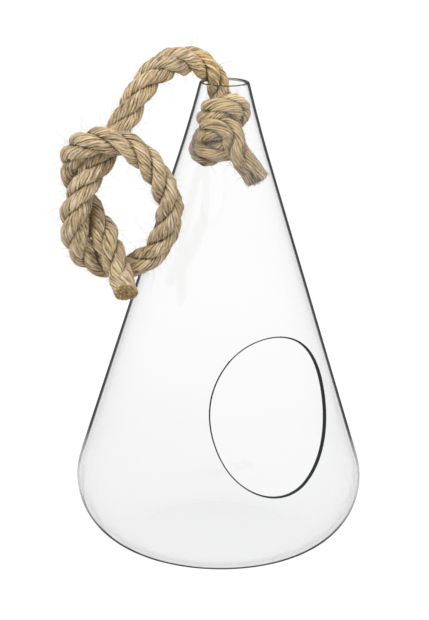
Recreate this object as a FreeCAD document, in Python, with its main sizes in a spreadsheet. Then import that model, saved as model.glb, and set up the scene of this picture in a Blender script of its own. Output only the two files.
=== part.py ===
import FreeCAD, Part
import math
import os
import Sketcher

# Hanging glass vase: a blown cone with a soft heel, an egg-shaped opening in its side and an
# open mouth, and the thick laid rope that it hangs by. The rope is stopped inside the neck by
# an overhand knot, runs over the left rim and ends in a ring knotted round itself.
# Millimetres, +Z up. The origin is the middle of the flat base, -Y is the front.

document = FreeCAD.newDocument("hanging_vase")

# Driving sizes
sheet = document.addObject("Spreadsheet::Sheet", "Sizes")
sizes = [
    ("vase_height", 300.0, "base to the top of the mouth's lip"),
    ("body_radius", 92.0, "outer radius at the widest place"),
    ("shoulder_radius", 43.0, "arc between the flat base and the flank"),
    ("neck_length", 48.0, "height of the eased stretch below the mouth"),
    ("neck_radius", 850.0, "hollow arc of the neck, up to the lip"),
    ("mouth_bore_radius", 13.2, "clear radius of the mouth"),
    ("neck_wall", 2.4, "wall at the mouth"),
    ("base_wall", 3.0, "wall at the base and the heel"),
    ("opening_azimuth", 25.7, "degrees from the front towards +X"),
    ("opening_low_height", 94.0, "height of the lower arc's centre"),
    ("opening_low_radius", 35.5, "lower end of the egg"),
    ("opening_top_radius", 38.2, "upper end of the egg"),
    ("opening_side_radius", 55.2, "sides of the egg"),
    ("opening_stretch", 19.3, "distance between the centres of the two ends"),
    ("opening_lean", 72.7, "degrees of the egg's axis from the horizontal"),
    ("opening_rounding", 0.8, "melted edge of the opening"),
    ("rope_diameter", 15.0, "three strands laid together"),
    ("rope_arc_share", 0.45, "share of the shorter run that each bend takes"),
]
for row, (alias, value, note) in enumerate(sizes, start=1):
    sheet.set("A%d" % row, alias)
    sheet.set("B%d" % row, str(value))
    sheet.set("C%d" % row, note)
    sheet.setAlias("B%d" % row, alias)
document.recompute()


def size(alias):
    return float(getattr(sheet, alias))


# A body's own origin plane or axis
def origin_feature(body, role):
    for feature in body.Origin.OriginFeatures:
        if feature.Role == role:
            return feature
    raise ValueError(role)


# Point at a distance and an angle from a centre, in the sketch's plane
def polar(centre, radius, angle):
    return FreeCAD.Vector(centre.x + radius * math.cos(angle), centre.y + radius * math.sin(angle), 0)


# Sketch arc, anticlockwise from one angle to another
def sketch_arc(centre, radius, first, last):
    circle = Part.Circle(centre, FreeCAD.Vector(0, 0, 1), radius)
    return Part.ArcOfCircle(circle, first, last)


# Where the flank touches the shoulder and the neck: the neck arc's centre is found so that the
# arc reaches the lip, by halving the range of the flank's lean
shoulder = FreeCAD.Vector(size("body_radius") - size("shoulder_radius"), size("shoulder_radius"), 0)
lip_radius = size("neck_wall") / 2
neck_start = size("vase_height") - size("neck_length")
lip = FreeCAD.Vector(size("mouth_bore_radius") + lip_radius, size("vase_height") - lip_radius, 0)


def neck_centre(lean):
    normal = FreeCAD.Vector(math.cos(lean), math.sin(lean), 0)
    reach = normal.dot(shoulder) + size("shoulder_radius")
    start_radius = (reach - neck_start * normal.y) / normal.x
    start = FreeCAD.Vector(start_radius, neck_start, 0)
    return start + normal * size("neck_radius")


def neck_error(lean):
    return (lip - neck_centre(lean)).Length - size("neck_radius") - lip_radius


low = math.radians(5)
high = math.radians(35)
for step in range(60):
    middle = (low + high) / 2
    if (neck_error(low) > 0) == (neck_error(middle) > 0):
        low = middle
    else:
        high = middle
neck = neck_centre((low + high) / 2)


# Lean of a line that touches the shoulder arc on its outer side and the neck arc on its hollow side
def flank_lean(shoulder_arc, neck_arc):
    across = shoulder - neck
    return math.atan2(across.y, across.x) + math.acos(-(shoulder_arc + neck_arc) / across.Length)


outer_lean = flank_lean(size("shoulder_radius"), size("neck_radius"))
if abs(outer_lean) > math.pi / 2:
    outer_lean -= 2 * math.pi
inner_shoulder_radius = size("shoulder_radius") - size("base_wall")
inner_neck_radius = size("neck_radius") + size("neck_wall")
inner_lean = flank_lean(inner_shoulder_radius, inner_neck_radius)
if abs(inner_lean) > math.pi / 2:
    inner_lean -= 2 * math.pi
lip_angle = math.atan2(neck.y - lip.y, neck.x - lip.x)

# Glass: half section turned round the axis
vase = document.addObject("PartDesign::Body", "glass_vase")
vase.Label = "glass_vase"
section = vase.newObject("Sketcher::SketchObject", "half_section")
section.AttachmentSupport = [(origin_feature(vase, "XZ_Plane"), "")]
section.MapMode = "FlatFace"

points = {
    "base": FreeCAD.Vector(0, 0, 0),
    "base_edge": FreeCAD.Vector(shoulder.x, 0, 0),
    "flank_low": polar(shoulder, size("shoulder_radius"), outer_lean),
    "flank_high": polar(neck, size("neck_radius"), outer_lean + math.pi),
    "inner_high": polar(neck, inner_neck_radius, inner_lean + math.pi),
    "inner_low": polar(shoulder, inner_shoulder_radius, inner_lean),
    "inner_base_edge": FreeCAD.Vector(shoulder.x, size("base_wall"), 0),
    "inner_base": FreeCAD.Vector(0, size("base_wall"), 0),
}
BASE, SHOULDER, FLANK, NECK, LIP, INNER_NECK, INNER_FLANK, INNER_SHOULDER, INNER_BASE, AXIS = range(10)
quarter_down = -math.pi / 2
section.addGeometry([
    Part.LineSegment(points["base"], points["base_edge"]),
    sketch_arc(shoulder, size("shoulder_radius"), quarter_down, outer_lean),
    Part.LineSegment(points["flank_low"], points["flank_high"]),
    sketch_arc(neck, size("neck_radius"), lip_angle + math.pi, outer_lean + math.pi),
    sketch_arc(lip, lip_radius, lip_angle, lip_angle + math.pi),
    sketch_arc(neck, inner_neck_radius, lip_angle + math.pi, inner_lean + math.pi),
    Part.LineSegment(points["inner_high"], points["inner_low"]),
    sketch_arc(shoulder, inner_shoulder_radius, quarter_down, inner_lean),
    Part.LineSegment(points["inner_base_edge"], points["inner_base"]),
    Part.LineSegment(points["inner_base"], points["base"]),
], False)
START, END, CENTRE = 1, 2, 3
ORIGIN, VERTICAL = -1, -2
joints = [
    (BASE, END, SHOULDER, START),
    (SHOULDER, END, FLANK, START),
    (FLANK, END, NECK, END),
    (NECK, START, LIP, START),
    (LIP, END, INNER_NECK, START),
    (INNER_NECK, END, INNER_FLANK, START),
    (INNER_FLANK, END, INNER_SHOULDER, END),
    (INNER_SHOULDER, START, INNER_BASE, START),
]
for joint in joints:
    section.addConstraint(Sketcher.Constraint("Tangent", *joint))
section.addConstraint(Sketcher.Constraint("Coincident", INNER_BASE, END, AXIS, START))
section.addConstraint(Sketcher.Constraint("Coincident", AXIS, END, BASE, START))
section.addConstraint(Sketcher.Constraint("Coincident", BASE, START, ORIGIN, START))
section.addConstraint(Sketcher.Constraint("Horizontal", BASE))
section.addConstraint(Sketcher.Constraint("Vertical", AXIS))
section.addConstraint(Sketcher.Constraint("Coincident", INNER_SHOULDER, CENTRE, SHOULDER, CENTRE))
section.addConstraint(Sketcher.Constraint("Coincident", INNER_NECK, CENTRE, NECK, CENTRE))


# Adds a dimension to a sketch and binds it to the sheet
def bound(sketch, name, formula, constraint):
    index = sketch.addConstraint(constraint)
    sketch.renameConstraint(index, name)
    sketch.setExpression("Constraints." + name, formula)


bound(section, "shoulder_arc", "Sizes.shoulder_radius",
      Sketcher.Constraint("Radius", SHOULDER, size("shoulder_radius")))
bound(section, "shoulder_place", "Sizes.body_radius - Sizes.shoulder_radius",
      Sketcher.Constraint("DistanceX", ORIGIN, START, SHOULDER, CENTRE, shoulder.x))
bound(section, "neck_arc", "Sizes.neck_radius",
      Sketcher.Constraint("Radius", NECK, size("neck_radius")))
bound(section, "neck_place", "Sizes.vase_height - Sizes.neck_length",
      Sketcher.Constraint("DistanceY", ORIGIN, START, NECK, END, neck_start))
bound(section, "lip_arc", "Sizes.neck_wall / 2",
      Sketcher.Constraint("Radius", LIP, lip_radius))
bound(section, "lip_place", "Sizes.mouth_bore_radius + Sizes.neck_wall / 2",
      Sketcher.Constraint("DistanceX", ORIGIN, START, LIP, CENTRE, lip.x))
bound(section, "lip_height", "Sizes.vase_height - Sizes.neck_wall / 2",
      Sketcher.Constraint("DistanceY", ORIGIN, START, LIP, CENTRE, lip.y))
bound(section, "base_thickness", "Sizes.base_wall",
      Sketcher.Constraint("DistanceY", ORIGIN, START, INNER_BASE, END, size("base_wall")))
document.recompute()

turned = vase.newObject("PartDesign::Revolution", "turned_wall")
turned.Profile = section
turned.ReferenceAxis = (section, ["V_Axis"])
turned.Angle = 360
document.recompute()

# Egg-shaped opening, cut from the axis outwards through the front right wall
egg = vase.newObject("Sketcher::SketchObject", "opening_outline")
egg.AttachmentSupport = [(origin_feature(vase, "XZ_Plane"), "")]
egg.MapMode = "FlatFace"
egg.AttachmentOffset = FreeCAD.Placement(
    FreeCAD.Vector(0, 0, 0), FreeCAD.Rotation(FreeCAD.Vector(0, 1, 0), size("opening_azimuth")))
egg.setExpression(".AttachmentOffset.Rotation.Angle", "Sizes.opening_azimuth * 1 deg")

lean = math.radians(size("opening_lean"))
low_centre = FreeCAD.Vector(0, size("opening_low_height"), 0)
top_centre = polar(low_centre, size("opening_stretch"), lean)
low_gap = size("opening_side_radius") - size("opening_low_radius")
top_gap = size("opening_side_radius") - size("opening_top_radius")
along = (low_gap ** 2 - top_gap ** 2 + size("opening_stretch") ** 2) / (2 * size("opening_stretch"))
aside = math.sqrt(low_gap ** 2 - along ** 2)
foot = polar(low_centre, along, lean)
right_centre = polar(foot, aside, lean + math.pi / 2)
left_centre = polar(foot, aside, lean - math.pi / 2)


# Angle of the line from one centre to another, in the sketch's plane
def towards(first, second):
    return math.atan2(second.y - first.y, second.x - first.x)


right_low = towards(right_centre, low_centre)
right_top = towards(right_centre, top_centre)
left_low = towards(left_centre, low_centre)
left_top = towards(left_centre, top_centre)
RIGHT, TOP, LEFT, LOW, EGG_AXIS = range(5)
full_turn = 2 * math.pi
egg.addGeometry([
    sketch_arc(right_centre, size("opening_side_radius"), right_low, right_top),
    sketch_arc(top_centre, size("opening_top_radius"), right_top, left_top % full_turn),
    sketch_arc(left_centre, size("opening_side_radius"), left_top % full_turn, left_low % full_turn),
    sketch_arc(low_centre, size("opening_low_radius"), left_low % full_turn, right_low + full_turn),
], False)
egg.addGeometry([Part.LineSegment(low_centre, top_centre)], True)
for joint in [(RIGHT, END, TOP, START), (TOP, END, LEFT, START), (LEFT, END, LOW, START), (LOW, END, RIGHT, START)]:
    egg.addConstraint(Sketcher.Constraint("Tangent", *joint))
egg.addConstraint(Sketcher.Constraint("Coincident", EGG_AXIS, START, LOW, CENTRE))
egg.addConstraint(Sketcher.Constraint("Coincident", EGG_AXIS, END, TOP, CENTRE))
egg.addConstraint(Sketcher.Constraint("Equal", RIGHT, LEFT))
egg.addConstraint(Sketcher.Constraint("PointOnObject", EGG_AXIS, START, VERTICAL))
bound(egg, "low_height", "Sizes.opening_low_height",
      Sketcher.Constraint("DistanceY", ORIGIN, START, EGG_AXIS, START, size("opening_low_height")))
bound(egg, "stretch", "Sizes.opening_stretch",
      Sketcher.Constraint("Distance", EGG_AXIS, size("opening_stretch")))
bound(egg, "lean", "Sizes.opening_lean * 1 deg",
      Sketcher.Constraint("Angle", EGG_AXIS, lean))
bound(egg, "low_arc", "Sizes.opening_low_radius",
      Sketcher.Constraint("Radius", LOW, size("opening_low_radius")))
bound(egg, "top_arc", "Sizes.opening_top_radius",
      Sketcher.Constraint("Radius", TOP, size("opening_top_radius")))
bound(egg, "side_arc", "Sizes.opening_side_radius",
      Sketcher.Constraint("Radius", RIGHT, size("opening_side_radius")))
document.recompute()

whole_volume = vase.Shape.Volume
opening = vase.newObject("PartDesign::Pocket", "side_opening")
opening.Profile = egg
opening.Reversed = True
opening.setExpression("Length", "Sizes.body_radius * 1.2")
document.recompute()
print("opening removes %.0f mm3 of %.0f" % (whole_volume - opening.Shape.Volume, whole_volume))

# Both edges of the opening, inside and outside, are melted round
cut_direction = egg.Placement.Rotation.multVec(FreeCAD.Vector(0, 0, 1))
rim_edges = []
for number, edge in enumerate(opening.Shape.Edges, start=1):
    centre = edge.valueAt((edge.FirstParameter + edge.LastParameter) / 2)
    outline = egg.Shape.distToShape(Part.Vertex(centre - cut_direction * centre.dot(cut_direction)))[0]
    ends = edge.valueAt(edge.LastParameter) - edge.valueAt(edge.FirstParameter)
    across_wall = ends.Length > 0.01 and ends.getAngle(cut_direction) % math.pi < 0.01
    if outline < 0.01 and not across_wall:
        rim_edges.append("Edge%d" % number)
print("rim edges", len(rim_edges))
melted = vase.newObject("PartDesign::Fillet", "melted_rim")
melted.Base = (opening, rim_edges)
melted.setExpression("Radius", "Sizes.opening_rounding")
document.recompute()

# Rope route, from its cut end on the outside to its frayed end inside the vase
rope_points = [
    (-56.9, -71.4, 185.1),
    (-62.1, -62.2, 196.6),
    (-66.9, -56.8, 207.3),
    (-71.7, -49.2, 216.2),
    (-79.5, -44.0, 224.9),
    (-85.8, -42.5, 235.9),
    (-89.1, -43.3, 248.2),
    (-90.2, -48.1, 260.0),
    (-86.9, -56.8, 268.6),
    (-78.1, -63.7, 274.6),
    (-65.7, -66.3, 275.9),
    (-53.6, -66.8, 272.2),
    (-44.3, -66.9, 263.4),
    (-37.1, -65.9, 252.9),
    (-32.4, -63.0, 241.3),
    (-31.3, -59.5, 229.1),
    (-33.9, -55.1, 217.3),
    (-39.0, -51.2, 206.3),
    (-47.5, -47.7, 197.4),
    (-59.2, -45.7, 192.7),
    (-71.8, -46.7, 193.9),
    (-82.5, -50.3, 201.0),
    (-88.3, -55.6, 212.2),
    (-89.1, -59.0, 224.5),
    (-86.7, -60.4, 237.2),
    (-81.1, -58.4, 248.8),
    (-74.0, -54.2, 258.7),
    (-67.9, -50.9, 269.5),
    (-61.4, -47.1, 279.9),
    (-55.6, -41.4, 289.7),
    (-50.8, -34.4, 299.4),
    (-44.3, -27.3, 307.8),
    (-35.7, -20.6, 313.0),
    (-27.1, -14.5, 315.1),
    (-19.1, -9.4, 314.2),
    (-12.4, -5.5, 310.5),
    (-7.7, -2.3, 305.4),
    (-5.1, 1.4, 300.2),
    (-3.5, 4.8, 294.6),
    (-2.5, 5.1, 287.9),
    (-0.8, 3.1, 281.6),
    (0.8, -0.1, 275.6),
    (4.5, -1.5, 270.0),
    (5.2, -2.6, 263.6),
    (1.8, -5.2, 258.3),
    (-4.9, -7.7, 256.2),
    (-11.9, -4.8, 255.6),
    (-14.9, 2.0, 257.0),
    (-12.7, 8.2, 261.4),
    (-9.5, 8.9, 268.8),
    (-9.8, 5.4, 274.9),
    (-10.1, 0.1, 278.7),
    (-7.7, -5.1, 282.3),
    (-2.7, -7.4, 285.4),
    (3.4, -6.3, 286.5),
    (8.0, -2.4, 284.8),
    (9.4, 2.3, 280.8),
    (7.7, 7.1, 277.2),
    (4.3, 11.0, 272.8),
    (1.4, 10.4, 266.2),
    (-3.4, 4.9, 262.2),
    (-9.2, -0.3, 265.0),
    (-10.2, -4.8, 269.3),
    (-7.0, -9.1, 272.7),
    (-1.2, -11.7, 273.3),
    (4.5, -11.7, 270.4),
    (7.3, -12.3, 264.2),
    (8.2, -13.2, 257.5),
    (12.1, -10.9, 252.3),
    (16.6, -9.0, 247.5),
    (19.9, -7.1, 241.8),
]


# Straight runs joined by arcs: each arc takes the same share of the shorter of its two runs
def rope_wire(corners, share):
    edges = []
    radii = []
    begin = corners[0]
    for before, corner, after in zip(corners, corners[1:], corners[2:]):
        back = (before - corner).normalize()
        ahead = (after - corner).normalize()
        shorter = min((before - corner).Length, (after - corner).Length)
        half_turn = (math.pi - back.getAngle(ahead)) / 2
        cut = share * shorter
        radius = cut / math.tan(half_turn)
        enter = corner + back * cut
        leave = corner + ahead * cut
        inward = (back + ahead).normalize()
        crown = corner + inward * (radius / math.cos(half_turn) - radius)
        edges.append(Part.LineSegment(begin, enter).toShape())
        edges.append(Part.Arc(enter, crown, leave).toShape())
        radii.append(radius)
        begin = leave
    edges.append(Part.LineSegment(begin, corners[-1]).toShape())
    return Part.Wire(edges), radii


corners = [FreeCAD.Vector(*point) for point in rope_points]
path, bend_radii = rope_wire(corners, size("rope_arc_share"))
start_ring = Part.Wire([Part.Circle(corners[0], corners[1] - corners[0], size("rope_diameter") / 2).toShape()])
rope = document.addObject("Part::Feature", "rope")
rope.Label = "rope"
rope.Shape = path.makePipeShell([start_ring], True, False)
rope.Placement = FreeCAD.Placement()
expected = math.pi * (size("rope_diameter") / 2) ** 2 * path.Length
print("rope length %.1f mm, volume %.0f, section by length %.0f" % (path.Length, rope.Shape.Volume, expected))
print("bend radii from %.1f to %.1f mm" % (min(bend_radii), max(bend_radii)))
print("radii " + " ".join("%.0f" % radius for radius in bend_radii))

# Every object is sound before anything is written
document.recompute()
for item in document.Objects:
    if "Invalid" in item.State or "Error" in item.State:
        raise RuntimeError("%s: %s" % (item.Name, item.State))
for item in (vase, rope):
    if item.Shape.isNull() or not item.Shape.isValid():
        raise RuntimeError("%s has no valid shape" % item.Label)
    if len(item.Shape.Solids) != 1:
        raise RuntimeError("%s isn't one solid" % item.Label)

os.makedirs("parts", exist_ok=True)
for item in (vase, rope):
    item.Shape.exportStep("parts/%s.step" % item.Label)
    box = item.Shape.optimalBoundingBox(False, False)
    print(item.Label, "x %.1f %.1f y %.1f %.1f z %.1f %.1f" % (
        box.XMin, box.XMax, box.YMin, box.YMax, box.ZMin, box.ZMax), "volume %.0f" % item.Shape.Volume)
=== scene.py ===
import math

import bpy
import numpy as np
from mathutils import Matrix, Vector


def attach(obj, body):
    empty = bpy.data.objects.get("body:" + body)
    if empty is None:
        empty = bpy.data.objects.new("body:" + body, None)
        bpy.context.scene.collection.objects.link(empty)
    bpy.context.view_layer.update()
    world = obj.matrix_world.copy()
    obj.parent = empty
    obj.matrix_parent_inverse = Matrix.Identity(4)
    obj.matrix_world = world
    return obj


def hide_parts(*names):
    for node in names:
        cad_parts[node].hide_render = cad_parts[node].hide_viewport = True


bl_info = {
    "name": "Hanging glass vase",
    "version": (1, 0, 0),
    "blender": (4, 5, 0),
    "location": "3D View > Sidebar > Vase",
    "description": "Builds a hanging blown glass vase with its knotted jute rope",
    "category": "Object",
}

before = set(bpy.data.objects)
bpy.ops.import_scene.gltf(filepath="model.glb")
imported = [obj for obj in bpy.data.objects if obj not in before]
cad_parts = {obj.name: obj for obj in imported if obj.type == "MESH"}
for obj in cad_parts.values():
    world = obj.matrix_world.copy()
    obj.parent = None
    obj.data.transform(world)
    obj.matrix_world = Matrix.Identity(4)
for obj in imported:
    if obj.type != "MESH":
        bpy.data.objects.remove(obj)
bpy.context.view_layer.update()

# The rope's route in metres, from its cut end outside to its frayed end in the neck
ROPE_ROUTE = [
    (-0.0569, -0.0714, 0.1851), (-0.0621, -0.0622, 0.1966), (-0.0669, -0.0568, 0.2073),
    (-0.0717, -0.0492, 0.2162), (-0.0795, -0.0440, 0.2249), (-0.0858, -0.0425, 0.2359),
    (-0.0891, -0.0433, 0.2482), (-0.0902, -0.0481, 0.2600), (-0.0869, -0.0568, 0.2686),
    (-0.0781, -0.0637, 0.2746), (-0.0657, -0.0663, 0.2759), (-0.0536, -0.0668, 0.2722),
    (-0.0443, -0.0669, 0.2634), (-0.0371, -0.0659, 0.2529), (-0.0324, -0.0630, 0.2413),
    (-0.0313, -0.0595, 0.2291), (-0.0339, -0.0551, 0.2173), (-0.0390, -0.0512, 0.2063),
    (-0.0475, -0.0477, 0.1974), (-0.0592, -0.0457, 0.1927), (-0.0718, -0.0467, 0.1939),
    (-0.0825, -0.0503, 0.2010), (-0.0883, -0.0556, 0.2122), (-0.0891, -0.0590, 0.2245),
    (-0.0867, -0.0604, 0.2372), (-0.0811, -0.0584, 0.2488), (-0.0740, -0.0542, 0.2587),
    (-0.0679, -0.0509, 0.2695), (-0.0614, -0.0471, 0.2799), (-0.0556, -0.0414, 0.2897),
    (-0.0508, -0.0344, 0.2994), (-0.0443, -0.0273, 0.3078), (-0.0357, -0.0206, 0.3130),
    (-0.0271, -0.0145, 0.3151), (-0.0191, -0.0094, 0.3142), (-0.0124, -0.0055, 0.3105),
    (-0.0077, -0.0023, 0.3054), (-0.0051, 0.0014, 0.3002), (-0.0035, 0.0048, 0.2946),
    (-0.0025, 0.0051, 0.2879), (-0.0008, 0.0031, 0.2816), (0.0008, -0.0001, 0.2756),
    (0.0045, -0.0015, 0.2700), (0.0052, -0.0026, 0.2636), (0.0018, -0.0052, 0.2583),
    (-0.0049, -0.0077, 0.2562), (-0.0119, -0.0048, 0.2556), (-0.0149, 0.0020, 0.2570),
    (-0.0127, 0.0082, 0.2614), (-0.0095, 0.0089, 0.2688), (-0.0098, 0.0054, 0.2749),
    (-0.0101, 0.0001, 0.2787), (-0.0077, -0.0051, 0.2823), (-0.0027, -0.0074, 0.2854),
    (0.0034, -0.0063, 0.2865), (0.0080, -0.0024, 0.2848), (0.0094, 0.0023, 0.2808),
    (0.0077, 0.0071, 0.2772), (0.0043, 0.0110, 0.2728), (0.0014, 0.0104, 0.2662),
    (-0.0034, 0.0049, 0.2622), (-0.0092, -0.0003, 0.2650), (-0.0102, -0.0048, 0.2693),
    (-0.0070, -0.0091, 0.2727), (-0.0012, -0.0117, 0.2733), (0.0045, -0.0117, 0.2704),
    (0.0073, -0.0123, 0.2642), (0.0082, -0.0132, 0.2575), (0.0121, -0.0109, 0.2523),
    (0.0166, -0.0090, 0.2475), (0.0199, -0.0071, 0.2418),
]

# How thick the rope is along it: millimetres from the cut end, and the share of its diameter
ROPE_THICKNESS = [
    (0, 1.02), (24, 1.07), (34, 1.18), (62, 1.18), (90, 1.11), (150, 1.06), (180, 1.10),
    (215, 1.10), (235, 1.02), (262, 1.06), (282, 1.16), (306, 1.18), (325, 1.12), (345, 1.07),
    (390, 1.08), (408, 1.20), (424, 1.22), (433, 1.10), (443, 1.00), (700, 1.00),
]

# Spacing of the stations along the rope in metres, and millimetres in a metre
STATION_SPACING = 0.00105
MILLIMETRES = 1000

# Strands, and how far each lies from the rope's middle, over its own radius, when three touch
STRANDS = 3
STRAND_SWING = 1.1547

# Ends of the rope: lengths in metres, and how strongly the strands draw together or flare
PRESSED_LENGTH = 0.020
PRESSED_SHARE = 0.42
CUT_REACH = 0.011
CUT_INSET = -0.0006
FLARE_LENGTH = 0.008
FLARE_SHARE = 0.16

# Yarns: points across one yarn, its turns for each turn of the strand and its roundness
YARN_COLUMNS = 6
YARN_TWIST = 2.05
YARN_ROUNDNESS = 0.6

# Cut faces: rings that shrink to a point, how far each stands out and how rough they are
CUT_SHRINK = np.array([0.98, 0.91, 0.78, 0.60, 0.40, 0.22, 0.08])
CUT_BULGE = np.array([0.30, 0.70, 0.90, 1.0, 1.0, 1.0, 1.0]) * 0.0010
CUT_ROUGHNESS = 0.00040
CUT_HOLLOW = 0.10

# Fibres: points along each, thickest width in metres and the share that it tapers
HAIR_ROWS = 7
LYING_ROWS = 5
HAIR_WIDTH, HAIR_TAPER = 0.00006, 0.7
LYING_WIDTH, LYING_TAPER = 0.000075, 0.6
CUT_FIBRE_WIDTH, CUT_FIBRE_TAPER = 0.00012, 0.6

# Lengths of the stray fibres: the usual one, its spread, the shortest and the longest
HAIR_LENGTHS = (0.0038, 0.55, 0.0014, 0.012)

# Cut fibres at each end: station, direction along the rope, count, longest length and spread
CUT_FIBRES = ((0, -1.0, 300, 0.0010, 0.20), (-1, 1.0, 800, 0.0026, 0.34))

# The glass wall, in metres: its height, the step of its measured levels and room for a fibre
GLASS_HEIGHT = 0.300
GLASS_STEP = 0.005
WALL_INSIDE = 0.0032
WALL_OUTSIDE = 0.0006
WALL_MIDDLE = 0.002

# Levels of the glass, in metres
WAIST_LEVEL = 0.046
THICK_BELOW = 0.160
RIMS_ABOVE = 0.052
MOUTH_ABOVE = 0.290

# The outer skin's normal turns up over this height in metres, and no more than on the flank
HEEL_HEIGHT = 0.043
FLANK_UP = 0.285

# Streaks: name, how quick across and along a yarn, detail, levels of the noise, share in the tone
STREAKS = (
    ("own", 3.71, 0.045, 1.0, (0.30, 0.70), 0.34),
    ("broad", 0.9, 0.09, 2.0, (0.30, 0.70), 0.26),
    ("medium", 2.3, 0.17, 2.0, (0.30, 0.70), 0.42),
    ("fine", 6.5, 0.42, 2.0, (0.25, 0.75), 0.24),
)
WARM_STREAKS = (5.13, 0.030, 1.0, (0.38, 0.66))

# Painted light and shade on the rope in the neck: where it starts, in millimetres, and its levels, in
# metres
NECK_START = (418.0, 434.0)
NECK_LEVELS = (0.245, 0.285)
NECK_PAINTED_SHADE = (0.88, 0.84, 0.74, 1)
NECK_PAINTED_LIGHT = (1.34, 1.28, 1.09, 1)

# Brightness of the room in a reflection, after a turn inside the glass and as a light; the floor
MIRRORED_TONE = 0.97
TURNED_TONE = 0.80
WORLD_LEVEL = 0.55
FLOOR_TONE = 0.06
FLOOR_SIDES = 96
FLOOR_DROP = 0.0004

# Square lights: name, place, side and power
LIGHTS = (
    ("key_light", (-0.9, -1.1, 1.5), 0.9, 26),
    ("fill_light", (1.3, -0.9, 0.8), 1.0, 9),
    ("back_light", (0.2, 1.3, 1.4), 0.9, 12),
)
LIGHT_TARGET = (0, 0, 0.2)


# Settings

class RopeSettings(bpy.types.PropertyGroup):
    """Sizes and colours of the laid rope."""

    diameter: bpy.props.FloatProperty(
        name="Diameter", description="Thickness over the three strands",
        default=0.015, unit="LENGTH")
    lay: bpy.props.FloatProperty(
        name="Lay", description="Length in which a strand goes once round",
        default=0.048, unit="LENGTH")
    yarns: bpy.props.IntProperty(
        name="Yarns", description="Yarns seen round one strand", default=15)
    yarn_relief: bpy.props.FloatProperty(
        name="Yarn relief", description="Height of a yarn over the groove beside it",
        default=0.00055, unit="LENGTH")
    hairs: bpy.props.IntProperty(
        name="Stray fibres", description="Loose fibres standing off the rope", default=2600)
    lying_fibres: bpy.props.IntProperty(
        name="Lying fibres", description="Fine fibres that cross the yarns", default=7000)
    unlaid: bpy.props.FloatProperty(
        name="Unlaid length", description="Part of the inner end whose strands run straight",
        default=0.030, unit="LENGTH")
    cut_facing: bpy.props.FloatVectorProperty(
        name="Cut facing", description="Direction that the outer end's cut faces",
        subtype="DIRECTION", default=(0.12, -0.82, -0.56))
    straw: bpy.props.FloatVectorProperty(
        name="Straw", description="Light fibres", subtype="COLOR", default=(0.80, 0.65, 0.45))
    gold: bpy.props.FloatVectorProperty(
        name="Gold", description="Warmer light fibres", subtype="COLOR",
        default=(0.68, 0.50, 0.27))
    # Bark is the colour of dark fibres, and also the colour that the painted crease shade darkens
    # towards
    bark: bpy.props.FloatVectorProperty(
        name="Bark", description="Dark fibres and creases", subtype="COLOR",
        default=(0.135, 0.093, 0.048))
    cut_tint: bpy.props.FloatVectorProperty(
        name="Cut tint", description="Browning of the cut faces", subtype="COLOR",
        default=(0.94, 0.86, 0.70))


class GlassSettings(bpy.types.PropertyGroup):
    """Finish of the blown glass."""

    tint: bpy.props.FloatVectorProperty(
        name="Tint", description="Colour of the clear glass", subtype="COLOR",
        default=(1.0, 1.0, 1.0))
    base_tint: bpy.props.FloatVectorProperty(
        name="Base tint", description="Colour of the thick glass at the base", subtype="COLOR",
        default=(0.95, 0.952, 0.952))
    refraction: bpy.props.FloatProperty(
        name="Refraction", description="Index of refraction", default=1.45)
    # Edge width and edge strength set the painted shade line where the glass is seen edge-on
    edge_width: bpy.props.FloatProperty(
        name="Edge width", description="Width of the dark line where the wall is seen edge-on",
        default=0.0016, unit="LENGTH")
    edge_strength: bpy.props.FloatProperty(
        name="Edge strength", description="How far the line covers the glass", default=0.95,
        subtype="FACTOR", min=0.0, max=1.0)
    # The rims' darkening is painted shade
    rim_strength: bpy.props.FloatProperty(
        name="Rim strength", description="How far the melted rims darken", default=0.98,
        subtype="FACTOR", min=0.0, max=1.0)
    # The colour of the painted shade along the edges and rims
    edge_colour: bpy.props.FloatVectorProperty(
        name="Edge colour", description="Colour of the line", subtype="COLOR",
        default=(0.034, 0.037, 0.040))


class StageSettings(bpy.types.PropertyGroup):
    """Camera and floor."""

    camera_distance: bpy.props.FloatProperty(
        name="Camera distance", description="From the vase's axis, on the ground", default=1.181,
        unit="LENGTH")
    camera_height: bpy.props.FloatProperty(
        name="Camera height", description="Over the floor", default=0.502, unit="LENGTH")
    camera_turn: bpy.props.FloatVectorProperty(
        name="Camera turn", description="To the right, down and over to the side, in degrees",
        default=(-0.20, 16.45, 0.83))
    lens: bpy.props.FloatProperty(
        name="Lens", description="Focal length for a 36 mm frame, in mm", default=112.28)
    floor_radius: bpy.props.FloatProperty(
        name="Floor radius", description="Radius of the round floor", default=0.60, unit="LENGTH")


# Helpers

def new_mesh_object(name, points, faces):
    """A mesh object at the origin from an array of points and a list of faces, shaded smooth."""
    mesh = bpy.data.meshes.new(name)
    mesh.from_pydata(points.tolist(), [], faces)
    mesh.polygons.foreach_set("use_smooth", np.ones(len(mesh.polygons), dtype=bool))
    mesh.update()
    piece = bpy.data.objects.new(name, mesh)
    bpy.context.scene.collection.objects.link(piece)
    return piece


def grid_faces(rows, columns):
    """Four-sided faces of a grid that closes round its columns, with its front outwards."""
    row = np.arange(rows - 1)[:, None]
    column = np.arange(columns)[None, :]
    beside = (column + 1) % columns
    corner = row * columns + column
    faces = np.stack([corner, row * columns + beside, (row + 1) * columns + beside,
                      (row + 1) * columns + column], -1)
    return faces.reshape(-1, 4)


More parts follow.
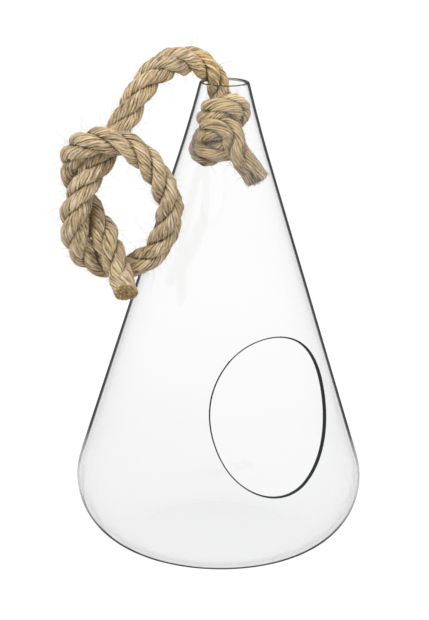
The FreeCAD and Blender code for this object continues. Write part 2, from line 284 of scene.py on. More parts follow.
def closed_tube(name, rows):
    """A closed mesh from rings of points: a grid round them, and at each end a fan from the last
    ring to its middle."""
    count, columns = rows.shape[:2]
    poles = np.stack([rows[0].mean(0), rows[-1].mean(0)])
    first = np.arange(columns)
    following = (first + 1) % columns
    last = (count - 1) * columns
    pole = np.full(columns, count * columns)
    fans = np.concatenate([np.stack([following, first, pole], -1),
                           np.stack([last + first, last + following, pole + 1], -1)])
    points = np.concatenate([rows.reshape(-1, 3), poles])
    return new_mesh_object(name, points, grid_faces(count, columns).tolist() + fans.tolist())


def point_attribute(piece, name, values):
    """Stores one number per point on a mesh."""
    layer = piece.data.attributes.new(name, "FLOAT", "POINT")
    layer.data.foreach_set("value", values.astype(np.float32))


def wander(values, seed, quickness):
    """Smooth chance along an array, within about -1 to 1: a sum of sines whose phases come from
    the seed. The first is as quick as given, each further one quicker and lower."""
    waves, quicker, lower, gain = 5, 1.7, 0.75, 1.4
    chance = np.random.default_rng(seed)
    total = np.zeros_like(values)
    weight = 0.0
    for wave in range(waves):
        share = lower ** wave
        phase = chance.uniform(0, 2 * math.pi)
        total += share * np.sin(values * quickness * quicker ** wave + phase)
        weight += share
    return total / weight * gain


def eased(values):
    """A share with a soft start and end: three times its square less twice its cube."""
    share = np.clip(values, 0, 1)
    return share * share * (3 - 2 * share)


def unit(vectors):
    """The same directions with length 1."""
    return vectors / np.linalg.norm(vectors, axis=-1, keepdims=True)


def around(turn, side, above):
    """Directions out from a line and round it, for turns about it from the side direction."""
    cosine, sine = np.cos(turn)[:, None], np.sin(turn)[:, None]
    return cosine * side + sine * above, -sine * side + cosine * above


# Rope

def smooth_route():
    """Points of the rope's middle line, read from a spline whose control points are the route."""
    curve = bpy.data.curves.new("rope_route", "CURVE")
    curve.dimensions = "3D"
    curve.resolution_u = 24
    spline = curve.splines.new("NURBS")
    spline.points.add(len(ROPE_ROUTE) - 1)
    weighted = np.c_[np.array(ROPE_ROUTE), np.ones(len(ROPE_ROUTE))]
    spline.points.foreach_set("co", weighted.ravel())
    spline.order_u = 3
    spline.use_endpoint_u = True
    carrier = bpy.data.objects.new("rope_route", curve)
    bpy.context.scene.collection.objects.link(carrier)
    line = bpy.data.meshes.new_from_object(carrier)
    points = np.empty(len(line.vertices) * 3)
    line.vertices.foreach_get("co", points)
    bpy.data.objects.remove(carrier)
    bpy.data.curves.remove(curve)
    bpy.data.meshes.remove(line)
    return points.reshape(-1, 3)


def rope_stations(points):
    """Even stations on the middle line: their places, the direction ahead, two side directions
    that don't twist, and the distances from the start. Each side direction is the last one with
    the part along the new direction taken off."""
    steps = np.linalg.norm(np.diff(points, axis=0), axis=1)
    reach = np.r_[0, np.cumsum(steps)]
    count = int(round(reach[-1] / STATION_SPACING)) + 1
    distance = np.linspace(0, reach[-1], count)
    place = np.stack([np.interp(distance, reach, points[:, axis]) for axis in range(3)], -1)
    ahead = unit(np.gradient(place, axis=0))
    side = np.empty_like(place)
    current = np.cross(ahead[0], [0.0, 0.0, 1.0])
    for station in range(count):
        current = unit(current - ahead[station] * current.dot(ahead[station]))
        side[station] = current
    return {"place": place, "ahead": ahead, "side": side, "above": np.cross(ahead, side),
            "distance": distance}


def rope_build(rope, settings):
    """Adds what changes along the rope: how far it is laid, in turns, how thick it is and how
    loose. The lay wavers a little and stops near the frayed end. The thickness is read between
    given places, where the photographed rope is looser or tighter."""
    waver, quickness, straightened = 0.16, 0.045, 0.88
    distance = rope["distance"]
    loose = eased((distance - (distance[-1] - settings.unlaid)) / settings.unlaid)
    rate = 1 + waver * wander(distance * MILLIMETRES, 3, quickness)
    rate = rate * (1 - straightened * loose) / settings.lay
    spots = np.array(ROPE_THICKNESS)
    rope["laid"] = np.r_[0, np.cumsum((rate[1:] + rate[:-1]) / 2 * np.diff(distance))]
    rope["thickness"] = np.interp(distance * MILLIMETRES, spots[:, 0], spots[:, 1])
    rope["loose"] = loose


def strand_frame(rope, number, settings):
    """Centre of one strand, its outward and sideways directions and its radius at every station.
    The strands go round the rope's middle line as a right-handed screw, a third of a turn apart.
    Near the cut end they are pressed into one round bundle: wider, and nearer to the middle. At
    the frayed end they flare."""
    drawn_in, relief_share = 0.10, 0.8
    distance = rope["distance"]
    pressed = PRESSED_SHARE * eased(1 - distance / PRESSED_LENGTH)
    flare = FLARE_SHARE * np.clip(1 - (distance[-1] - distance) / FLARE_LENGTH, 0, 1) ** 2
    outside = settings.diameter / 2 * rope["thickness"] - relief_share * settings.yarn_relief
    radius = outside / (1 + STRAND_SWING)
    turn = 2 * math.pi * (rope["laid"] + number / STRANDS)
    outward, sideways = around(turn, rope["side"], rope["above"])
    swing = radius * STRAND_SWING * (1 - drawn_in * rope["loose"] + flare - pressed)
    centre = rope["place"] + swing[:, None] * outward
    return centre, outward, sideways, radius * (1 + pressed)


def slant_cut(ring, rope, settings):
    """Leans the cut of the outer end: near it each point moves along the rope until, at the end
    itself, all of them lie in one plane. The shift fades out over the cut's reach."""
    near = rope["distance"] < CUT_REACH
    place, ahead = rope["place"][near], rope["ahead"][near]
    weight = 1 - rope["distance"][near] / CUT_REACH
    facing = np.array(settings.cut_facing)
    off = (ring[near] - place[:, None, :]) @ facing
    shift = weight[:, None] * (CUT_INSET - off / (ahead @ facing)[:, None])
    leaned = ring.copy()
    leaned[near] += shift[:, :, None] * ahead[:, None, :]
    return leaned


def strand_surface(rope, number, settings):
    """Points of one strand, station by station and round it, the ridges of its yarns and each
    column's place in them. A yarn is a rounded ridge, the sine of half its angle to a small
    power, that twists against the lay, so that on the outside it lies along the rope."""
    centre, outward, sideways, strand_radius = strand_frame(rope, number, settings)
    yarns = settings.yarns
    columns = yarns * YARN_COLUMNS
    yarn_angle = 2 * math.pi * np.arange(columns) / columns
    yarn_place = yarns * yarn_angle / (2 * math.pi)
    own = np.floor(yarn_place).astype(int)
    chance = np.random.default_rng(11 + number)
    own_lift = chance.uniform(-1, 1, yarns)[own]
    own_phase = chance.uniform(0, 900, yarns)[own][None, :]
    along = rope["distance"][:, None] * MILLIMETRES
    sway = 0.16 * wander(along + own_phase * 3, 31 + number, 0.11)
    angle = yarn_angle[None, :] + sway - (YARN_TWIST * 2 * math.pi * rope["laid"])[:, None]
    ridge = np.abs(np.sin(yarns * yarn_angle / 2)) ** YARN_ROUNDNESS
    rise = wander(along + own_phase, 5 + number, 0.09)
    ripple = wander(along + own_phase * 2, 8 + number, 0.45)
    usual, fuller, own_share, wavy, fine = 0.85, 0.35, 0.35, 0.30, 0.14
    height = ridge[None, :] * (usual + fuller * rise) + own_share * own_lift[None, :]
    height = settings.yarn_relief * (height + wavy * rise + fine * ripple)
    swell = 1 + 0.05 * wander(rope["distance"] * MILLIMETRES, 21 + number, 0.06)
    radius = (strand_radius * swell)[:, None] + height
    across = (1.14 + 0.16 * rope["loose"])[:, None]
    ring = (centre[:, None, :] + (radius * np.cos(angle))[:, :, None] * outward[:, None, :]
            + (radius * np.sin(angle) * across)[:, :, None] * sideways[:, None, :])
    return slant_cut(ring, rope, settings), ridge, yarn_place


def rope_hollow(rows, middle, settings):
    """How deep each point lies between the strands: 0 on the rope's outside and 1 at its middle."""
    from_middle = np.linalg.norm(rows - middle[:, None, :], axis=2)
    return np.clip(1 - from_middle / (settings.diameter / 2), 0, 1)


def cut_face(ring, way, rough):
    """Rings that close one end of a strand: they shrink towards the ring's middle and stand out
    along the given way, roughly."""
    middle = ring.mean(0)
    rings = middle + CUT_SHRINK[:, None, None] * (ring - middle)
    return rings + (CUT_BULGE[:, None, None] + rough[:, :, None]) * way


def rope_strand(rope, number, surface, settings):
    """One strand of the rope as a closed surface with a rough cut face at both ends. Its
    attributes tell the material where a point lies on its yarn and on the rope."""
    ring, ridge, yarn_place = surface
    columns = ring.shape[1]
    caps = len(CUT_SHRINK)
    chance = np.random.default_rng(61 + number)
    rough = chance.uniform(-1, 1, (2, caps, columns // 3)).repeat(3, axis=2) * CUT_ROUGHNESS
    rough[0, :2] = 0
    head = cut_face(ring[0], np.array(settings.cut_facing), rough[0])
    foot = cut_face(ring[-1], rope["ahead"][-1], rough[1])
    rows = np.concatenate([head[::-1], ring, foot])
    piece = closed_tube("rope_strand_%d" % (number + 1), rows)
    stations = np.pad(np.arange(len(ring)), caps, mode="edge")
    hollow = rope_hollow(rows, rope["place"][stations], settings)
    hollow[:caps] = CUT_HOLLOW
    hollow[-caps:] = CUT_HOLLOW
    cut = np.zeros(rows.shape[:2])
    cut[:caps - 1] = 1.0
    cut[-caps:] = 1.0
    along = rope["distance"][stations] * MILLIMETRES
    values = {
        "across_yarn": np.broadcast_to((yarn_place + 40 * number)[None, :], cut.shape),
        "along_rope": np.broadcast_to(along[:, None], cut.shape),
        "hollow": hollow,
        "groove": (1 - ridge)[None, :] * (1 - cut),
        "cut": cut,
    }
    for name, value in values.items():
        poles = [value[0].mean(), value[-1].mean()]
        point_attribute(piece, name, np.concatenate([value.ravel(), poles]))
    return piece


def fibre_mesh(name, line, upward, width, hollow):
    """Many tapered fibres as one mesh: round each point of a fibre's line stand three corners, in
    the plane of the given upward direction and of the direction across it."""
    corners = 3
    count, rows = line.shape[:2]
    ahead = unit(np.gradient(line, axis=1))
    side = np.cross(ahead, upward)
    side /= np.maximum(np.linalg.norm(side, axis=2), 1e-9)[:, :, None]
    above = np.cross(ahead, side)
    turn = (2 * math.pi * np.arange(corners) / corners)[None, None, :, None]
    out = np.cos(turn) * side[:, :, None, :] + np.sin(turn) * above[:, :, None, :]
    points = line[:, :, None, :] + width[None, :, None, None] * out
    start = (np.arange(count) * rows * corners)[:, None, None]
    faces = (grid_faces(rows, corners)[None, :, :] + start).reshape(-1, 4)
    ends = np.stack([np.array([2, 1, 0]), (rows - 1) * corners + np.array([0, 1, 2])])
    ends = (ends[None, :, :] + start).reshape(-1, 3)
    piece = new_mesh_object(name, points.reshape(-1, 3), faces.tolist() + ends.tolist())
    shade = np.random.default_rng(77).uniform(0, 400, count)
    values = {"across_yarn": shade, "along_rope": shade * 7, "hollow": hollow,
              "groove": np.zeros(count), "cut": np.zeros(count)}
    for attribute, value in values.items():
        point_attribute(piece, attribute, np.repeat(value, rows * corners))
    return piece


def hair_lines(roots, first_way, second_way, lengths):
    """Lines of free hairs: the root plus the length times the first direction by t and the second
    direction by t squared, with a small wave."""
    share = np.linspace(0, 1, HAIR_ROWS)[None, :]
    count = len(roots)
    chance = np.random.default_rng(78)
    wave = 0.07 * np.sin(share * chance.uniform(3, 8, count)[:, None]
                         + chance.uniform(0, 6, count)[:, None])
    bend = share ** 2 + wave - wave[:, :1]
    return (roots[:, None, :] + (lengths[:, None] * share)[:, :, None] * first_way[:, None, :]
            + (lengths[:, None] * bend)[:, :, None] * second_way[:, None, :])


def clear_of_glass(lines, roots):
    """True for each hair that stays on its own side of the glass wall. The wall's outside is the
    largest radius of the vase's own points near each level."""
    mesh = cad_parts["glass_vase"].data
    wall = np.empty(len(mesh.vertices) * 3)
    mesh.vertices.foreach_get("co", wall)
    wall = wall.reshape(-1, 3)
    top = round(GLASS_HEIGHT / GLASS_STEP)
    levels = np.linspace(0.0, GLASS_HEIGHT, top + 1)
    nearest = np.clip(np.round(wall[:, 2] / GLASS_STEP).astype(int), 0, top)
    outer = np.zeros(top + 1)
    np.maximum.at(outer, nearest, np.hypot(wall[:, 0], wall[:, 1]))
    outer = np.interp(levels, levels[outer > 0], outer[outer > 0])
    radius = np.hypot(lines[..., 0], lines[..., 1])
    limit = np.interp(lines[..., 2], levels, outer)
    above = lines[..., 2] > GLASS_HEIGHT + 0.001
    inside = radius < limit - WALL_INSIDE
    outside = radius > limit + WALL_OUTSIDE
    root_limit = np.interp(roots[:, 2], levels, outer) - WALL_MIDDLE
    root_inside = np.hypot(roots[:, 0], roots[:, 1]) < root_limit
    root_inside &= roots[:, 2] < GLASS_HEIGHT
    return np.where(root_inside, inside.all(1), (outside | above).all(1))


def rope_hairs(rope, settings):
    """Stray fibres along the whole rope: each leaves the surface low, bends away from it and
    trails along the rope. Most are short and a few are long."""
    usual, uneven, shortest, longest = HAIR_LENGTHS
    lean, bend = 0.35, 0.45
    chance = np.random.default_rng(42)
    count = settings.hairs
    station = chance.integers(4, len(rope["distance"]) - 4, count)
    turn = chance.uniform(0, 2 * math.pi, count)
    out, round_way = around(turn, rope["side"][station], rope["above"][station])
    depth = chance.uniform(0.86, 0.97, count)[:, None]
    roots = rope["place"][station] + out * settings.diameter / 2 * depth
    trail = np.where(chance.random(count) < 0.5, -1.0, 1.0)[:, None] * rope["ahead"][station]
    lift = chance.uniform(0.15, 1.0, count)[:, None]
    across = chance.normal(0, lean, count)[:, None]
    first_way = unit(trail * (1 - 0.5 * lift) + out * lift + round_way * across)
    second_way = (chance.normal(0, bend, count)[:, None] * out
                  + chance.normal(0, bend, count)[:, None] * round_way
                  + chance.normal(0, lean, count)[:, None] * trail)
    lengths = np.clip(chance.lognormal(math.log(usual), uneven, count), shortest, longest)
    line = hair_lines(roots, first_way, second_way, lengths)
    free = clear_of_glass(line, roots)
    width = HAIR_WIDTH * (1 - HAIR_TAPER * np.linspace(0, 1, HAIR_ROWS))
    upward = np.repeat(second_way[free][:, None, :], HAIR_ROWS, 1)
    return fibre_mesh("rope_stray_fibres", line[free], upward, width, np.zeros(free.sum()))


def rope_lying_fibres(rope, surfaces, settings):
    """Fine fibres that lie on the yarns and slip from one to the next: each runs along a strand's
    surface with a little drift across it, and its middle lifts a little. Only places that can be
    seen, near the rope's outside, get one."""
    seen_hollow, shortest, longest, drift_columns = 0.26, 3, 9, 5.0
    chance = np.random.default_rng(52)
    rings = np.stack([surface[0] for surface in surfaces])
    hollow = np.stack([rope_hollow(ring, rope["place"], settings) for ring in rings])
    stations, columns = rings.shape[1:3]
    tries = settings.lying_fibres * 3
    strand = chance.integers(0, STRANDS, tries)
    start = chance.uniform(2, stations - longest - 4, tries)
    column = chance.uniform(0, columns, tries)
    seen = hollow[strand, start.astype(int), column.astype(int) % columns] < seen_hollow
    strand, start, column = (value[seen][:settings.lying_fibres] for value in (strand, start, column))
    count = len(strand)
    share = np.linspace(0, 1, LYING_ROWS)[None, :]
    station = start[:, None] + share * chance.uniform(shortest, longest, count)[:, None]
    lean = column[:, None] + chance.normal(0, drift_columns, count)[:, None] * share
    low, left = np.floor(station).astype(int), np.floor(lean).astype(int)
    up_part, side_part = (station - low)[:, :, None], (lean - left)[:, :, None]
    which = strand[:, None]
    corner = [rings[which, low + row, (left + step) % columns] for row in (0, 1) for step in (0, 1)]
    line = ((corner[0] * (1 - side_part) + corner[1] * side_part) * (1 - up_part)
            + (corner[2] * (1 - side_part) + corner[3] * side_part) * up_part)
    upward = unit(line - rings[which, low].mean(2))
    lift = 0.00003 + chance.uniform(0.0, 0.0004, count)[:, None] * np.sin(math.pi * share)
    line = line + lift[:, :, None] * upward
    width = LYING_WIDTH * (1 - LYING_TAPER * np.abs(2 * share[0] - 1))
    depth = hollow[strand, start.astype(int), column.astype(int) % columns]
    return fibre_mesh("rope_lying_fibres", line, upward, width, depth)


def rope_end_fibres(rope, settings):
    """Cut fibres that stand out of both ends: short and even on the outer end, a little longer
    and spread on the end in the neck."""
    covered, stray, shortest = 0.93, 0.10, 0.35
    chance = np.random.default_rng(9)
    facing = np.array(settings.cut_facing)
    fibres = []
    for end, sign, count, longest, spread in CUT_FIBRES:
        place, ahead = rope["place"][end], rope["ahead"][end]
        turn = chance.uniform(0, 2 * math.pi, count)
        share = np.sqrt(chance.random(count))
        out = around(turn, rope["side"][end], rope["above"][end])[0]
        root = place + out * (share * settings.diameter / 2 * covered)[:, None]
        if end == 0:
            off = (root - place) @ facing / (ahead @ facing)
            root = root + (CUT_INSET - off)[:, None] * ahead
        way = sign * ahead + out * (share * spread)[:, None] + chance.normal(0, stray, (count, 3))
        bend = out * chance.normal(0.1, 0.25, count)[:, None] + chance.normal(0, 0.12, (count, 3))
        fibres.append((root, unit(way), bend, longest * chance.uniform(shortest, 1.0, count)))
    roots, ways, bends, lengths = (np.concatenate(part) for part in zip(*fibres))
    line = hair_lines(roots, ways, bends, lengths)
    width = CUT_FIBRE_WIDTH * (1 - CUT_FIBRE_TAPER * np.linspace(0, 1, HAIR_ROWS))
    upward = np.repeat(bends[:, None, :], HAIR_ROWS, 1)
    return fibre_mesh("rope_cut_fibres", line, upward, width, np.zeros(len(roots)))


# Materials

def new_material(name):
    """An empty node material and its output node."""
    material = bpy.data.materials.new(name)
    material.use_nodes = True
    material.node_tree.nodes.clear()
    output = material.node_tree.nodes.new("ShaderNodeOutputMaterial")
    return material, output


def fill_socket(tree, socket, value):
    """Links a socket to another node's output, or sets it to a number or colour."""
    if isinstance(value, bpy.types.NodeSocket):
        tree.links.new(value, socket)
    else:
        socket.default_value = value


def vector_node(tree, operation, *values, kind="ShaderNodeVectorMath"):
    """A Vector Math node, or another kind, with its inputs linked or set."""
    node = tree.nodes.new(kind)
    node.operation = operation
    for socket, value in zip(node.inputs, values):
        fill_socket(tree, socket, value)
    return node


def maths(tree, operation, *values, clamp=False):
    """The result of a Math node."""
    node = vector_node(tree, operation, *values, kind="ShaderNodeMath")
    node.use_clamp = clamp
    return node.outputs[0]


def times(tree, first, second):
    """The product of two values."""
    return maths(tree, "MULTIPLY", first, second)


def weighted_sum(tree, *parts):
    """The sum of several values, each times its own share."""
    total = None
    for value, share in parts:
        part = times(tree, value, share)
        total = part if total is None else maths(tree, "ADD", total, part)
    return total


def ramp(tree, value, low, high, start=0.0, end=1.0, smooth=False):
    """Turns a value between low and high into one between start and end, and holds it there
    outside them."""
    node = tree.nodes.new("ShaderNodeMapRange")
    if smooth:
        node.interpolation_type = "SMOOTHSTEP"
    limits = {"From Min": low, "From Max": high, "To Min": start, "To Max": end}
    for name, limit in limits.items():
        node.inputs[name].default_value = limit
    tree.links.new(value, node.inputs["Value"])
    return node.outputs[0]


def mix_node(tree, kind, factor, first, second, blend="MIX"):
    """A Mix node for two numbers or two colours, linked or set."""
    node = tree.nodes.new("ShaderNodeMix")
    node.data_type = kind
    node.blend_type = blend
    for name, value in (("Factor", factor), ("A", first), ("B", second)):
        fill_socket(tree, node.inputs[name], value)
    return node.outputs["Result"]


def mix_shaders(tree, factor, first, second):
    """A Mix Shader node between two linked shaders."""
    node = tree.nodes.new("ShaderNodeMixShader")
    for socket, value in zip(node.inputs, (factor, first, second)):
        tree.links.new(value, socket)
    return node.outputs[0]


def group_sockets(group, direction, kind, names):
    """Adds sockets of one kind to a node group."""
    for name in names:
        group.interface.new_socket(name=name, in_out=direction, socket_type="NodeSocket" + kind)


def read_attributes(tree):
    """What the rope's meshes tell about a point, by name."""
    read = {}
    for name in ("across_yarn", "along_rope", "hollow", "groove", "cut"):
        attribute = tree.nodes.new("ShaderNodeAttribute")
        attribute.attribute_name = name
        read[name] = attribute.outputs["Fac"]
    return read


def streaks(tree, source, along_rope, across, along, detail, stretch):
    """Streaks along the yarns: noise whose place is the source times one number and the distance
    along the rope times another, spread out between two of its levels."""
    place = tree.nodes.new("ShaderNodeCombineXYZ")
    tree.links.new(times(tree, source, across), place.inputs[0])
    tree.links.new(times(tree, along_rope, along), place.inputs[1])
    noise = tree.nodes.new("ShaderNodeTexNoise")
    for name, value in (("Scale", 1.0), ("Detail", detail), ("Roughness", 0.6)):
        noise.inputs[name].default_value = value
    tree.links.new(place.outputs[0], noise.inputs["Vector"])
    return ramp(tree, noise.outputs["Fac"], *stretch)


def painted_crease_shade(tree, read, crease_shade_strength):
    """Painted shade: how much darker the jute is deep between the strands and in the grooves
    between yarns.
    """
    deep = ramp(tree, read["hollow"], 0.15, 0.46, smooth=True)
    valley = maths(tree, "POWER", read["groove"], 1.5)
    dark = weighted_sum(tree, (deep, 0.68), (valley, 0.70))
    return times(tree, dark, crease_shade_strength)


def yarn_ends(tree, place, fine):
    """Light dots where the yarns end on a cut face: the distance from the borders of small cells,
    with fine streaks."""
    cells = tree.nodes.new("ShaderNodeTexVoronoi")
    cells.feature = "DISTANCE_TO_EDGE"
    cells.inputs["Scale"].default_value = 470.0
    tree.links.new(place, cells.inputs["Vector"])
    return weighted_sum(tree, (ramp(tree, cells.outputs["Distance"], 0.02, 0.24), 0.66), (fine, 0.24))


def neck_painted_light_and_shade(tree, place, along_rope, colour):
    """In the neck the rope gets painted shade, fuller and darker low down, and painted light,
    paler towards the mouth, which lights it.
    """
    height = tree.nodes.new("ShaderNodeSeparateXYZ")
    tree.links.new(place, height.inputs[0])
    mouthward = ramp(tree, height.outputs["Z"], *NECK_LEVELS)
    tint = mix_node(tree, "RGBA", mouthward, NECK_PAINTED_SHADE, NECK_PAINTED_LIGHT)
    inside = ramp(tree, along_rope, *NECK_START)
    return mix_node(tree, "RGBA", inside, colour, tint, "MULTIPLY")


def jute_group():
    """Colour, height and roughness of jute fibres. Every yarn has its own tone, which drifts along
    it. Noise stretched along the yarn makes streaks at three sizes. Painted shade darkens the
    grooves between yarns and the creases between strands, and in the neck the colour gets
    painted shade low down and painted light towards the mouth."""
    group = bpy.data.node_groups.new("jute_fibres", "ShaderNodeTree")
    group_sockets(group, "INPUT", "Color", ("Straw", "Gold", "Bark", "Cut tint"))
    group_sockets(group, "INPUT", "Float", ("Crease shade",))
    group_sockets(group, "OUTPUT", "Color", ("Colour",))
    group_sockets(group, "OUTPUT", "Float", ("Height", "Roughness"))
    given = group.nodes.new("NodeGroupInput").outputs
    result = group.nodes.new("NodeGroupOutput")
    place = group.nodes.new("ShaderNodeTexCoord").outputs["Object"]
    read = read_attributes(group)
    cut, along_rope = read["cut"], read["along_rope"]
    whole_yarn = maths(group, "FLOOR", read["across_yarn"])
    layers = {}
    for name, across, along, detail, stretch, share in STREAKS:
        source = whole_yarn if name == "own" else read["across_yarn"]
        layer = streaks(group, source, along_rope, across, along, detail, stretch)
        layers[name] = (layer, share)
    medium, fine = layers["medium"][0], layers["fine"][0]
    level = ramp(group, weighted_sum(group, *layers.values()), 0.25, 0.78)
    # Painted shade in the creases between strands and the grooves between yarns
    dark = painted_crease_shade(group, read, given["Crease shade"])
    lightness = maths(group, "SUBTRACT", level, dark, clamp=True)
    lightness = mix_node(group, "FLOAT", cut, lightness, yarn_ends(group, place, fine))
    warm = streaks(group, whole_yarn, along_rope, *WARM_STREAKS)
    warm = maths(group, "MAXIMUM", warm, cut)
    light = mix_node(group, "RGBA", warm, given["Straw"], given["Gold"])
    colour = mix_node(group, "RGBA", lightness, given["Bark"], light)
    colour = mix_node(group, "RGBA", cut, colour, given["Cut tint"], "MULTIPLY")
    # Painted light towards the mouth and painted shade low in the neck
    colour = neck_painted_light_and_shade(group, place, along_rope, colour)
    height = maths(group, "ADD", medium, times(group, fine, 0.6))
    rough = maths(group, "ADD", times(group, fine, 0.15), 0.66)
    for name, value in (("Colour", colour), ("Height", height), ("Roughness", rough)):
        group.links.new(value, result.inputs[name])
    return group


def jute_material(name, settings, group, bump, crease_shade_strength, depth):
    """Jute: the shared fibre group on a rough Principled shader with a little sheen. The depth
    darkens straw, gold and bark alike: below 1 it is painted shade, a darker copy of the jute.
    The crease shade strength sets how much painted shade falls in creases and grooves."""
    material, output = new_material(name)
    tree = material.node_tree
    shader = tree.nodes.new("ShaderNodeBsdfPrincipled")
    fibres = tree.nodes.new("ShaderNodeGroup")
    fibres.node_tree = group
    # A depth below 1 paints shade on the three fibre colours
    for colour in ("straw", "gold", "bark"):
        shade = [level * depth for level in getattr(settings, colour)]
        fibres.inputs[colour.capitalize()].default_value = (*shade, 1)
    fibres.inputs["Cut tint"].default_value = (*settings.cut_tint, 1)
    fibres.inputs["Crease shade"].default_value = crease_shade_strength
    relief = tree.nodes.new("ShaderNodeBump")
    relief.inputs["Strength"].default_value = bump
    relief.inputs["Distance"].default_value = 0.0004
    tree.links.new(fibres.outputs["Height"], relief.inputs["Height"])
    tree.links.new(relief.outputs["Normal"], shader.inputs["Normal"])
    tree.links.new(fibres.outputs["Colour"], shader.inputs["Base Color"])
    tree.links.new(fibres.outputs["Roughness"], shader.inputs["Roughness"])
    shader.inputs["Specular IOR Level"].default_value = 0.25
    shader.inputs["Sheen Weight"].default_value = 0.15
    shader.inputs["Sheen Roughness"].default_value = 0.5
    tree.links.new(shader.outputs[0], output.inputs["Surface"])
    return material


def glass_readings(tree):
    """What the glass's lines depend on at a point, by name: outward and up are shares of its
    normal."""
    place = tree.nodes.new("ShaderNodeTexCoord").outputs["Object"]
    geometry = tree.nodes.new("ShaderNodeNewGeometry").outputs
    flat = vector_node(tree, "MULTIPLY", place, (1, 1, 0)).outputs[0]
    radius = vector_node(tree, "LENGTH", flat).outputs["Value"]
    facing_out = vector_node(tree, "DOT_PRODUCT", geometry["Normal"], flat).outputs["Value"]
    level, normal = (tree.nodes.new("ShaderNodeSeparateXYZ") for axis in range(2))
    tree.links.new(place, level.inputs[0])
    tree.links.new(geometry["Normal"], normal.inputs[0])
    return {
        "level": level.outputs[2],
        "radius": radius,
        "outward": maths(tree, "DIVIDE", facing_out, maths(tree, "ADD", radius, 0.00001)),
        "up": normal.outputs[2],
        "front": maths(tree, "SUBTRACT", 1.0, geometry["Backfacing"]),
    }


def painted_edge_shade(tree, seen, settings):
    """Painted shade: the dark line where the outer skin is seen edge-on, about as wide at every
    height. A point lies inside the outline by half the vase's radius times the square of the
    cosine between its normal and the view. The painted line is pale round the widest part."""
    weight = tree.nodes.new("ShaderNodeLayerWeight")
    weight.inputs["Blend"].default_value = 0.5
    cosine = maths(tree, "SUBTRACT", 1.0, weight.outputs["Facing"])
    inset = times(tree, times(tree, cosine, cosine), 0.5)
    depth = times(tree, inset, seen["radius"])
    full, gone = settings.edge_width * 0.70, settings.edge_width * 1.20
    line = ramp(tree, depth, full, gone, 1.0, 0.0, smooth=True)
    outer = maths(tree, "GREATER_THAN", seen["outward"], 0.12)
    line = times(tree, line, times(tree, outer, seen["front"]))
    off_waist = maths(tree, "SUBTRACT", seen["level"], WAIST_LEVEL)
    off_waist = maths(tree, "ABSOLUTE", off_waist)
    pale = ramp(tree, off_waist, 0.004, 0.034, 0.28, 1.0, smooth=True)
    line = times(tree, line, pale)
    return times(tree, line, settings.edge_strength)


def painted_rim_shade(tree, seen, settings):
    """Painted shade: the dark line along the melted rims, where the normal leaves the one that the
    flank has at that height. It is wider along the opening's top and fainter at the mouth."""
    upward = maths(tree, "SUBTRACT", seen["level"], WAIST_LEVEL)
    upward = maths(tree, "DIVIDE", upward, HEEL_HEIGHT)
    upward = maths(tree, "MINIMUM", upward, FLANK_UP)
    squared = times(tree, upward, upward)
    sideward = maths(tree, "SQRT", maths(tree, "SUBTRACT", 1.0, squared))
    along_flank = weighted_sum(tree, (seen["outward"], sideward), (seen["up"], upward))
    turned = maths(tree, "SUBTRACT", 1.0, maths(tree, "ABSOLUTE", along_flank))
    mouth = maths(tree, "GREATER_THAN", seen["level"], MOUTH_ABOVE)
    opening_level = maths(tree, "SUBTRACT", seen["level"], mouth)
    widening = ramp(tree, opening_level, 0.132, 0.160, 2.0, 5.0, smooth=True)
    rim = ramp(tree, times(tree, turned, widening), 0.015, 0.060, smooth=True)
    above_base = maths(tree, "GREATER_THAN", seen["level"], RIMS_ABOVE)
    rim = times(tree, rim, times(tree, above_base, seen["front"]))
    strength = maths(tree, "SUBTRACT", settings.rim_strength, times(tree, mouth, 0.30))
    return times(tree, rim, strength)


def glass_material(settings):
    """Clear glass that greys a little towards its thick base, with a painted shade line where its
    outer skin is seen edge-on and along its melted rims: a dark emission mixed over the glass.
    Light that only asks for a shadow passes straight through."""
    material, output = new_material("clear_glass")
    tree = material.node_tree
    shader = tree.nodes.new("ShaderNodeBsdfPrincipled")
    shader.inputs["Roughness"].default_value = 0.0
    shader.inputs["IOR"].default_value = settings.refraction
    shader.inputs["Transmission Weight"].default_value = 1.0
    seen = glass_readings(tree)
    thin = ramp(tree, seen["level"], 0.0, THICK_BELOW, smooth=True)
    tint = mix_node(tree, "RGBA", thin, (*settings.base_tint, 1), (*settings.tint, 1))
    tree.links.new(tint, shader.inputs["Base Color"])
    line = maths(tree, "MAXIMUM", painted_edge_shade(tree, seen, settings), painted_rim_shade(tree, seen, settings))
    # Painted shade: a dark emission that the edge and rim lines mix over the glass
    dark = tree.nodes.new("ShaderNodeEmission")
    dark.inputs["Color"].default_value = (*settings.edge_colour, 1)
    dark.inputs["Strength"].default_value = 1.0
    clear = tree.nodes.new("ShaderNodeBsdfTransparent")
    clear.inputs["Color"].default_value = (0.94, 0.94, 0.94, 1)
    path = tree.nodes.new("ShaderNodeLightPath")
    lined = mix_shaders(tree, line, shader.outputs[0], dark.outputs[0])
    whole = mix_shaders(tree, path.outputs["Is Shadow Ray"], lined, clear.outputs[0])
    tree.links.new(whole, output.inputs["Surface"])
    return material


def room_tone(tree, path, plain):
    """How bright the room looks along a ray: white to the eye and straight through the glass, a
    little darker as a reflection, and darker again each time that the glass has turned the light
    back inside itself. Everything else gets the plain level."""
    straight, through = path["Is Camera Ray"], path["Is Transmission Ray"]
    mirrored = maths(tree, "SUBTRACT", path["Is Glossy Ray"], through, clamp=True)
    turned = maths(tree, "POWER", TURNED_TONE, path["Glossy Depth"])
    tone = maths(tree, "ADD", straight, times(tree, through, turned))
    tone = maths(tree, "ADD", tone, times(tree, mirrored, MIRRORED_TONE))
    other = maths(tree, "ADD", straight, path["Is Glossy Ray"])
    other = maths(tree, "SUBTRACT", 1.0, other, clamp=True)
    return maths(tree, "ADD", tone, times(tree, other, plain))


